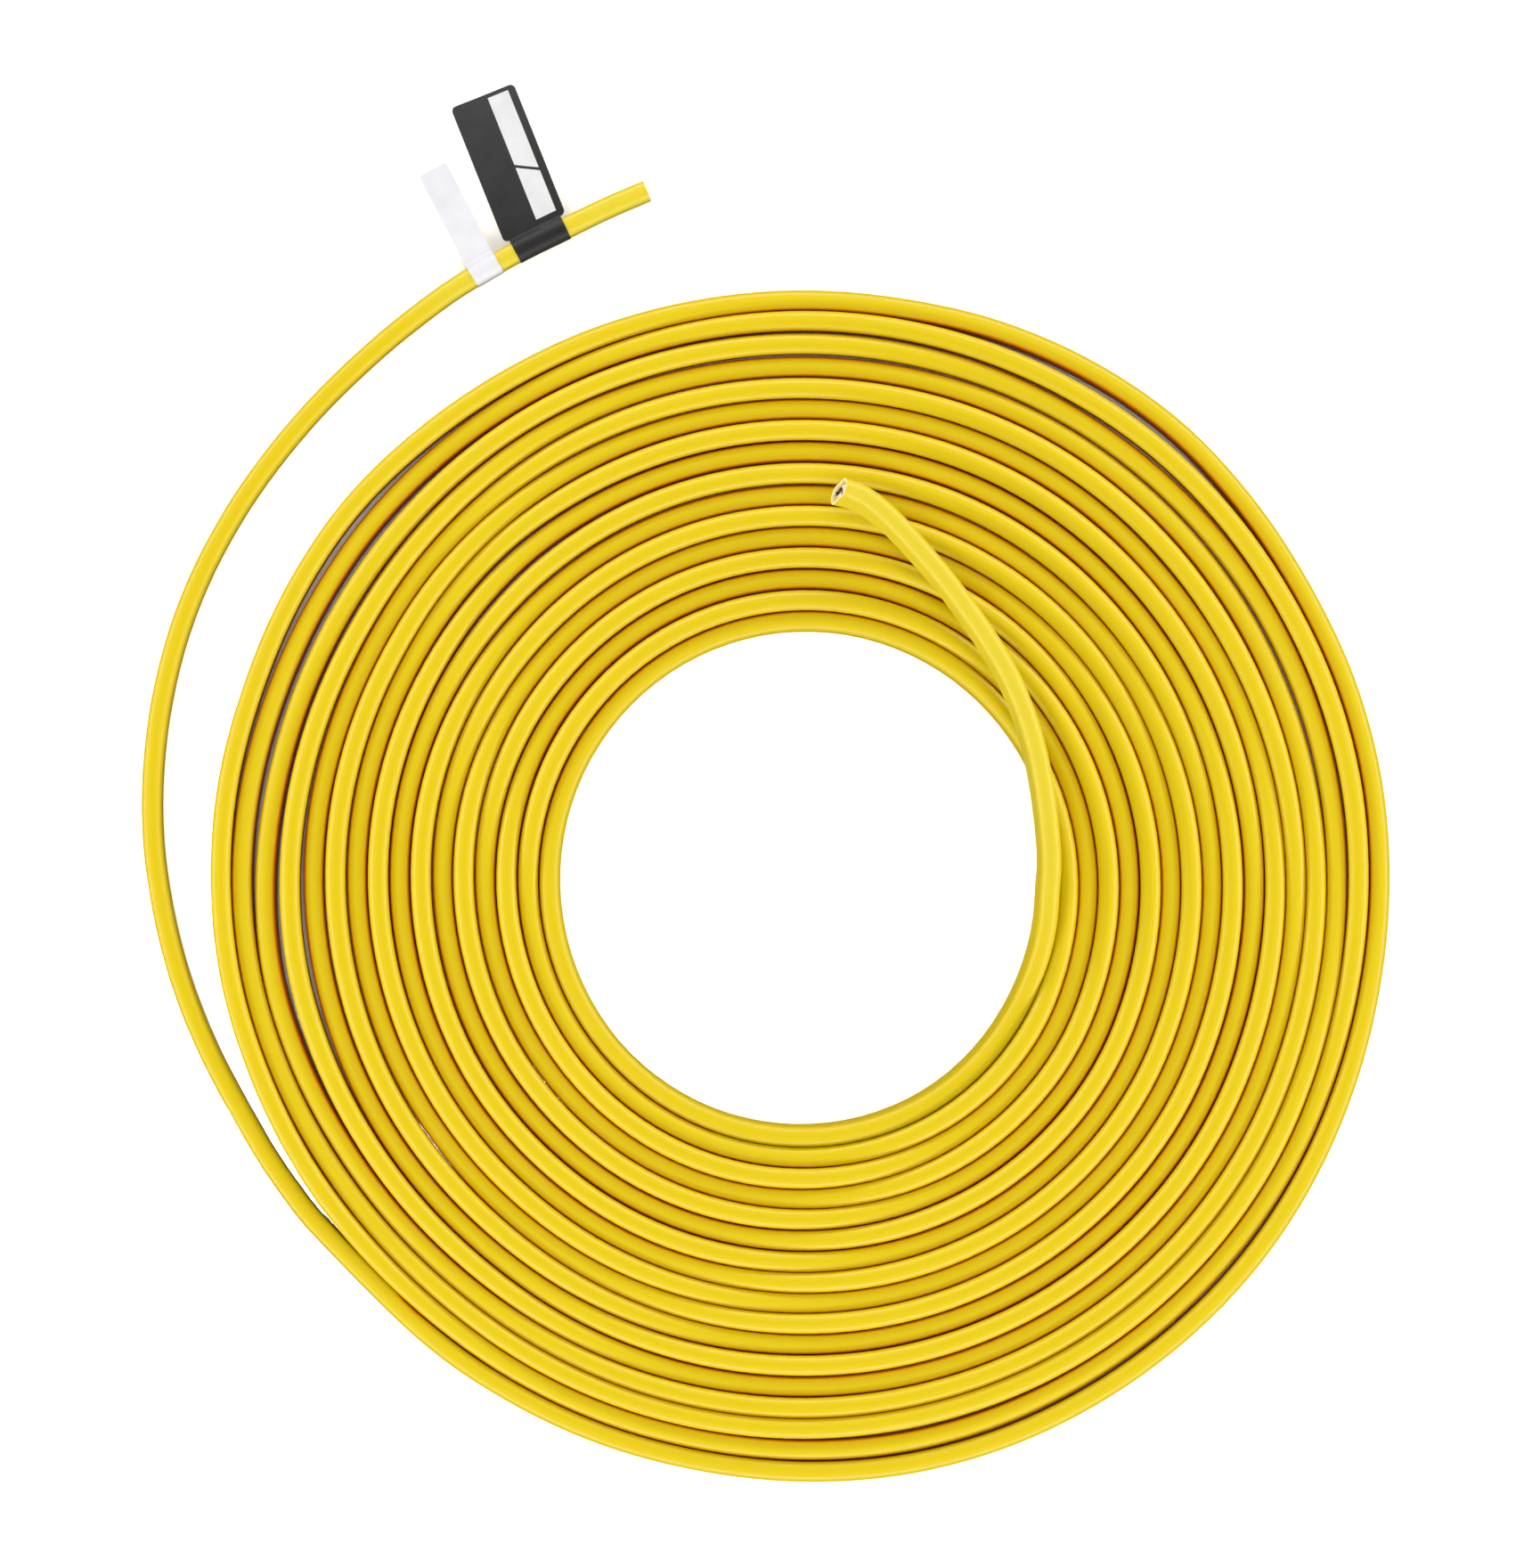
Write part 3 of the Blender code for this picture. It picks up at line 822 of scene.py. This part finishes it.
def sweep(name, outline, route):
    """The outline swept along the route, as an open mesh tube whose rings follow the route's points."""
    section = bpy.data.curves.new(name + "_section", "CURVE")
    section.dimensions = "2D"
    section.fill_mode = "NONE"
    rim = section.splines.new("POLY")
    rim.points.add(len(outline) - 1)
    for point, (x, y) in zip(rim.points, outline):
        point.co = (x, y, 0.0, 1.0)
    rim.use_cyclic_u = True
    bevel = bpy.data.objects.new(name + "_section", section)
    bpy.context.scene.collection.objects.link(bevel)
    curve = bpy.data.curves.new(name + "_line", "CURVE")
    curve.dimensions = "3D"
    curve.twist_mode = "Z_UP"
    curve.bevel_mode = "OBJECT"
    curve.bevel_object = bevel
    spline = curve.splines.new("POLY")
    spline.points.add(len(route) - 1)
    for point, (x, y, z, lean, _) in zip(spline.points, route):
        point.co = (x, y, z, 1.0)
        point.tilt = -lean
    line = bpy.data.objects.new(name + "_line", curve)
    bpy.context.scene.collection.objects.link(line)
    mesh = bpy.data.meshes.new_from_object(line.evaluated_get(bpy.context.evaluated_depsgraph_get()))
    mesh.name = name
    mesh.materials.clear()
    bpy.data.objects.remove(line)
    bpy.data.objects.remove(bevel)
    return mesh


def smooth(mesh, sharp_deg=SHARP_DEG):
    mesh.shade_smooth()
    mesh.set_sharp_from_angle(angle=math.radians(sharp_deg))


def store_share(mesh, attribute, shares):
    """Gives each vertex its own number from 0 to 1, for finishes that change over the surface."""
    layer = mesh.attributes.new(attribute, "FLOAT", "POINT")
    for value, share in zip(layer.data, shares):
        value.value = share


def painted_shade_share(turn, x, y):
    """How much painted shade a point of the section gets for lying deep between this turn and the one beside
    it, 0 on an open side.
    """
    outward = x * OUTER_SIDE > 0
    first, last = OUTER_SIDE_FACES if outward else INNER_SIDE_FACES
    if not first < turn < last:
        return 0.0
    beside = turn + 1.0 if outward else turn - 1.0
    depth = HALF_WIDTH - y + turn_lift(beside) - turn_lift(turn)
    return ease(depth, *PAINTED_SHADE_DEPTHS) * (x / HALF_THICKNESS) ** 2


def painted_light_share(ring, rings):
    """How near a ring of the sheath is to a cut end, where the free cable is painted paler, a painted
    highlight for the extra light it catches.
    """
    from_inner, from_outer = ring * RING_SPACING, (rings - 1 - ring) * RING_SPACING
    inner_reach, outer_reach = PAINTED_LIGHT_END_REACH
    return max(1.0 - ease(from_inner, *inner_reach), 1.0 - ease(from_outer, *outer_reach))


def store_place(mesh, attribute, places):
    """Gives each vertex its own place on the piece, for patterns that follow the surface."""
    layer = mesh.attributes.new(attribute, "FLOAT_VECTOR", "POINT")
    for value, place in zip(layer.data, places):
        value.vector = place


def add_piece(name, mesh, materials, body="root"):
    piece = bpy.data.objects.new(name, mesh)
    for material in materials:
        mesh.materials.append(material)
    bpy.context.scene.collection.objects.link(piece)
    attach(piece, body)
    return piece


def toward_middle(point, line, distance):
    """The point moved squarely towards the line that runs through the cable's two round edges."""
    start, end = line
    along = end - start
    share = min(max((point - start).dot(along) / along.dot(along), 0.0), 1.0)
    return point + (start + along * share - point).normalized() * distance


def grow_rim(bm, rim, move, finish):
    """Extrudes the open rim, puts each new vertex where move says, and gives the new faces their finish."""
    edges = [e for e in bm.edges if e.is_boundary and e.verts[0] in rim and e.verts[1] in rim]
    grown = bmesh.ops.extrude_edge_only(bm, edges=edges)["geom"]
    fresh = [v for v in grown if isinstance(v, bmesh.types.BMVert)]
    for vert in fresh:
        vert.co = move(vert.co)
    for face in grown:
        if isinstance(face, bmesh.types.BMFace):
            face.material_index = finish
    return fresh


def open_end(bm, rim, out, line):
    """A rough cut edge as thick as the sheath's wall, with the room for the wires behind it."""

    def torn(point, inward, outward, rough):
        jag = noise.noise(point * 1400.0) * rough
        return toward_middle(point, line, inward) + out * (outward + jag)

    for inward, outward, rough, finish in CUT_RIM:
        rim = grow_rim(bm, set(rim), lambda p: torn(p, inward, outward, rough), finish)
    rim = grow_rim(bm, set(rim), lambda p: p - out * CUT_DEPTH, 1)
    inner = set(rim)
    edges = [e for e in bm.edges if e.is_boundary and e.verts[0] in inner and e.verts[1] in inner]
    for face in bmesh.ops.edgeloop_fill(bm, edges=edges)["faces"]:
        face.material_index = 1


def round_edges_line(ring):
    """The line through the centres of the cable's two round edges, from one ring of the sheath's vertices."""
    half = len(ring) // 2
    arc = EDGE_STEPS
    lines = []
    for start in (FLAT_STEPS - 1, FLAT_STEPS - 1 + half):
        lines.append((ring[start] + ring[start + arc]) / 2)
    return lines


def make_cable(route, materials):
    """The whole cable with both its ends cut open, and the frame of each cut end."""
    outline = cable_outline()
    mesh = sweep("cable", outline, route)
    sides = len(outline)
    places = []
    for ring in range(len(route)):
        places += [(x, y, ring * RING_SPACING) for x, y in outline]
    store_place(mesh, "cable_place", places)
    # Painted shade between the turns
    shares = [painted_shade_share(point[4], x, y) for point in route for x, y in outline]
    store_share(mesh, "painted_shade_between_turns", shares)
    # Painted highlight near the cut ends
    paler = [painted_light_share(ring, len(route)) for ring in range(len(route)) for _ in outline]
    store_share(mesh, "painted_light_at_ends", paler)
    bm = bmesh.new()
    bm.from_mesh(mesh)
    bm.verts.ensure_lookup_table()
    rings = [bm.verts[:sides], bm.verts[sides : 2 * sides], bm.verts[-2 * sides : -sides], bm.verts[-sides:]]
    middles = [sum((v.co for v in ring), Vector()) / sides for ring in rings]
    frames = []
    for rim, end, before in ((rings[0], middles[0], middles[1]), (rings[3], middles[3], middles[2])):
        out = (end - before).normalized()
        line = round_edges_line([v.co.copy() for v in rim])
        up = (line[0] - line[1]).normalized()
        up = up if up.z > 0 else -up
        frames.append(end_frame(end, out, up))
        open_end(bm, list(rim), out, line)
    bmesh.ops.recalc_face_normals(bm, faces=bm.faces)
    bm.to_mesh(mesh)
    bm.free()
    smooth(mesh)
    return add_piece("cable", mesh, materials), frames


def end_frame(middle, out, up):
    """X out of the cut, Z along the section's width and Y across it, from the middle of the cut."""
    up = (up - out * up.dot(out)).normalized()
    axes = Matrix((out, up.cross(out), up)).transposed().to_4x4()
    return Matrix.Translation(middle) @ axes


# Wires and paper at a cut end


def turned(name, profile, closed, frame, material):
    """The profile of (along, radius) points, spun round X and put in the frame."""
    bm = bmesh.new()
    verts = [bm.verts.new((along, 0.0, radius)) for along, radius in profile]
    pairs = list(zip(verts, verts[1:]))
    if closed:
        pairs.append((verts[-1], verts[0]))
    edges = [bm.edges.new(pair) for pair in pairs]
    bmesh.ops.spin(
        bm,
        geom=verts + edges,
        cent=(0, 0, 0),
        axis=(1, 0, 0),
        angle=math.tau,
        steps=WIRE_SIDES,
        use_merge=True,
    )
    bmesh.ops.remove_doubles(bm, verts=bm.verts, dist=0.000002)
    bmesh.ops.recalc_face_normals(bm, faces=bm.faces)
    bm.transform(frame)
    mesh = bpy.data.meshes.new(name)
    bm.to_mesh(mesh)
    bm.free()
    smooth(mesh)
    return add_piece(name, mesh, [material])


def core_profile(start, end, radius):
    """Half the outline of a solid wire, its cut edge slightly rounded."""
    off = CORE_ROUNDING
    return [(start, 0.0), (start, radius), (end - off, radius), (end, radius - off), (end, 0.0)]


def insulation_profile(start, end, radius, bore):
    """The closed outline of a wire's insulation on one side of the core, its cut edges slightly rounded."""
    off = INSULATION_ROUNDING
    back = [(start, bore), (start, radius)]
    cut = [(end - off, radius), (end, radius - off), (end, bore + off), (end - off, bore)]
    return back + cut


def line_with_paper(name, frame, material):
    """Crumpled paper round all the wires, whose torn edge shows at the cut and folds in over them."""
    inset = SHEATH_WALL + PAPER_GAP
    outline = racetrack(CABLE_THICKNESS - 2 * inset, CABLE_WIDTH - 2 * inset, PAPER_EDGE_STEPS)
    bm = bmesh.new()
    verts = [bm.verts.new((-CUT_DEPTH, x, y)) for x, y in outline]
    edges = [bm.edges.new(pair) for pair in zip(verts, verts[1:] + verts[:1])]
    step = CUT_DEPTH / PAPER_RINGS
    for ring in range(PAPER_RINGS):
        grown = bmesh.ops.extrude_edge_only(bm, edges=edges)["geom"]
        fresh = [v for v in grown if isinstance(v, bmesh.types.BMVert)]
        edges = [e for e in grown if isinstance(e, bmesh.types.BMEdge)]
        last = ring == PAPER_RINGS - 1
        fold = PAPER_FOLD * ease(ring, PAPER_RINGS - 4, PAPER_RINGS - 1)
        for vert in fresh:
            tear = noise.noise(vert.co * 1700.0)
            vert.co.x += step + (tear * PAPER_TEAR if last else 0.0)
            vert.co.yz = vert.co.yz * (1.0 - fold * (0.6 + 0.8 * abs(tear)))
            spot = vert.co * 900.0
            across = noise.noise(spot + CRUMPLE_ACROSS_FROM)
            upward = noise.noise(spot + CRUMPLE_UPWARD_FROM)
            vert.co += Vector((0.0, across, upward)) * PAPER_CRUMPLE
    bmesh.ops.recalc_face_normals(bm, faces=bm.faces)
    bmesh.ops.solidify(bm, geom=list(bm.faces), thickness=PAPER_THICKNESS)
    bmesh.ops.recalc_face_normals(bm, faces=bm.faces)
    bm.transform(frame)
    mesh = bpy.data.meshes.new(name)
    bm.to_mesh(mesh)
    bm.free()
    smooth(mesh, PAPER_SHARP_DEG)
    return add_piece(name, mesh, [material])


def fill_end(end_name, frame, finishes):
    """The two insulated wires with the bare one between them, cut back inside the paper that wraps them."""
    pieces = []
    start = -CUT_DEPTH + SEAT_GAP
    apart_by = (WIRE_DIAMETER + CORE_DIAMETER) / 2 + WIRE_GAP
    core_radius = CORE_DIAMETER / 2
    for colour, height, end in (("black", apart_by, BLACK_WIRE_END), ("white", -apart_by, WHITE_WIRE_END)):
        place = frame @ Matrix.Translation((0.0, 0.0, height))
        ring = insulation_profile(start, end, WIRE_DIAMETER / 2, core_radius + WIRE_GAP)
        insulation = turned(f"{end_name}_{colour}_insulation", ring, True, place, finishes[colour])
        rod = core_profile(start, end + CORE_STANDS_PROUD, core_radius)
        core = turned(f"{end_name}_{colour}_core", rod, False, place, finishes["copper"])
        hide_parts(f"{end_name}_{colour}_wire")
        pieces += [insulation, core]
    rod = core_profile(start, GROUND_WIRE_END, core_radius)
    ground = turned(f"{end_name}_ground_wire_core", rod, False, frame, finishes["copper"])
    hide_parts(f"{end_name}_ground_wire")
    paper = line_with_paper(f"{end_name}_paper", frame, finishes["paper"])
    return pieces + [ground, paper]


# Labels


def point_from_end(route, from_end):
    """The route's point at this distance from the outer cut end, with its lean."""
    left = from_end
    for a, b in zip(route[::-1], route[-2::-1]):
        step = math.dist(a[:3], b[:3])
        if left <= step:
            return tuple(p + (q - p) * left / step for p, q in zip(a, b))
        left -= step
    raise ValueError("the label is past the start of the cable")


def stretch_of_route(route, from_end, length, steps):
    """Evenly spaced points of the route over a length whose middle is this far from the outer cut end."""
    start = from_end + length / 2
    return [point_from_end(route, start - length * step / steps) for step in range(steps + 1)]


def label_frame(route, from_end):
    """X along the cable towards its outer cut end, Y away from the coil, at the cable's middle."""
    here = Vector(point_from_end(route, from_end)[:3])
    ahead = Vector(point_from_end(route, from_end - 0.002)[:3])
    behind = Vector(point_from_end(route, from_end + 0.002)[:3])
    along = ahead - behind
    return Matrix.Translation(here) @ Matrix.Rotation(math.atan2(along.y, along.x), 4, "Z")


def neck_outline(root_height):
    """The film round the cable, drawn out on its outer side to where the flag's two layers meet."""
    around = racetrack(CABLE_THICKNESS + 2 * FILM_SEAT, CABLE_WIDTH + 2 * FILM_SEAT, EDGE_STEPS)
    half = len(around) // 2
    flank = [HALF_FLAT * (1 - 2 * k / NECK_STEPS) for k in range(1, NECK_STEPS)]
    outline = around[:half]
    outline += [(-HALF_THICKNESS - FILM_SEAT, y) for y in flank]
    outline += around[half:]
    outline += [(HALF_THICKNESS + FILM_SEAT, -y) for y in flank]
    pulled = []
    for x, y in outline:
        near = (y - root_height) / NECK_DRAW_REACH
        draw = NECK_DRAW * math.exp(-(near**2)) if x * OUTER_SIDE > 0 else 0.0
        pulled.append((x + OUTER_SIDE * draw, y))
    return pulled[::-1]


def make_neck(name, route, from_end, length, root_height):
    """The neck as a thin closed shell of film that follows the cable."""
    stretch = stretch_of_route(route, from_end, length, NECK_STEPS)
    mesh = sweep(name, neck_outline(root_height), stretch)
    bm = bmesh.new()
    bm.from_mesh(mesh)
    bmesh.ops.recalc_face_normals(bm, faces=bm.faces)
    for vert in bm.verts:
        vert.co += vert.normal * abs(noise.noise(vert.co * 330.0)) * NECK_WRINKLE
    bmesh.ops.solidify(bm, geom=list(bm.faces), thickness=-FILM)
    bmesh.ops.recalc_face_normals(bm, faces=bm.faces)
    bm.to_mesh(mesh)
    bm.free()
    return mesh


def flag_sheet(width, length, corner, thickness):
    """A flat flag with its foot on X and its length along Y, sliced both ways so that it can bend."""
    bm = bmesh.new()
    corners = [(-width / 2, 0.0), (width / 2, 0.0), (width / 2, length), (-width / 2, length)]
    face = bm.faces.new([bm.verts.new((x, y, 0.0)) for x, y in corners])
    bmesh.ops.bevel(
        bm, geom=list(bm.verts), offset=corner, segments=6, profile=0.5, affect="VERTICES", material=-1
    )
    drawn = bmesh.ops.extrude_face_region(bm, geom=list(bm.faces))["geom"]
    moved = [v for v in drawn if isinstance(v, bmesh.types.BMVert)]
    bmesh.ops.translate(bm, vec=(0.0, 0.0, thickness), verts=moved)
    bmesh.ops.recalc_face_normals(bm, faces=bm.faces)
    for size, normal, start in ((width, (1, 0, 0), -width / 2), (length, (0, 1, 0), 0.0)):
        count = round(size / SLICE)
        for k in range(1, count):
            at = Vector(normal) * (start + size * k / count)
            sheet = bm.verts[:] + bm.edges[:] + bm.faces[:]
            bmesh.ops.bisect_plane(bm, geom=sheet, plane_co=at, plane_no=normal)
    return bm


def make_label(name, route, sizes, curl, material):
    """A neck and a flag that slopes from the cable's outer side down to the floor, in one piece."""
    from_end, neck_length, width, length, corner, swing = sizes
    frame = label_frame(route, from_end)
    root_height = FLAG_ROOT_HEIGHT - frame.translation.z
    neck = make_neck(name, route, from_end, neck_length, root_height)
    flag = flag_sheet(width, length, corner, 2 * FILM)
    foot_slope = math.tan(math.radians(swing))
    places = [tuple(v.co.xy) for v in flag.verts]
    turn = Matrix.Rotation(math.radians(swing), 4, "Z")
    for vert in flag.verts:
        x, y, z = vert.co
        share = y / length
        drop = (FLAG_ROOT_HEIGHT - FLAG_TIP_HEIGHT) * share * (1.0 + FLAG_SAG - FLAG_SAG * share)
        rise = curl * share * (2 * x / width) ** 2 + 0.4 * curl * share**6
        wave = FLAG_WAVE * share * math.sin(y / length * 9.0 + x / width * 2.0)
        skewed = y - foot_slope * x * (1 - share)
        spot = turn @ Vector((x, skewed, 0.0))
        height = root_height - drop + rise + wave + z - FILM
        vert.co = spot + Vector((0.0, HALF_THICKNESS + FLAG_FOOT_GAP, height))
    flag.transform(frame)
    sheet = bpy.data.meshes.new(name + "_flag")
    flag.to_mesh(sheet)
    flag.free()
    store_place(sheet, "label_place", [(x, y, 0.0) for x, y in places])
    # The neck lies outside the panel and takes the darkest end of the painted shade
    store_place(neck, "label_place", [(0.0, -1.0, 0.0)] * len(neck.vertices))
    bm = bmesh.new()
    bm.from_mesh(neck)
    bm.from_mesh(sheet)
    bpy.data.meshes.remove(sheet)
    bm.to_mesh(neck)
    bm.free()
    smooth(neck)
    return add_piece(name, neck, [material])


def main():
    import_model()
    low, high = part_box("cable_coil")
    middle = (Vector(low) + Vector(high)) / 2
    make_camera(middle, CABLE_WIDTH)
    light_studio(lay_floor())

    route = smooth_route(chosen_points(middle), RING_SPACING)
    cable, ends = make_cable(route, [yellow_sheath(), cut_sheath()])
    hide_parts("cable_coil", "outer_tail", "inner_tail")

    finishes = {
        "black": wire_plastic("black_insulation", BLACK_WIRE_TONES),
        "white": wire_plastic("white_insulation", WHITE_WIRE_TONES),
        "copper": copper(),
        "paper": wrapping_paper(),
    }
    on_cable = fill_end("inner_end", ends[0], finishes) + fill_end("outer_end", ends[1], finishes)

    black_label = make_label("black_flag_label", route, BLACK_SIZES, BLACK_CURL, black_film())
    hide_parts("black_tag")
    white_label = make_label("white_strip_label", route, WHITE_SIZES, WHITE_CURL, white_film())
    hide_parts("white_tag")

    bpy.context.scene.view_settings.view_transform = "Standard"


main()
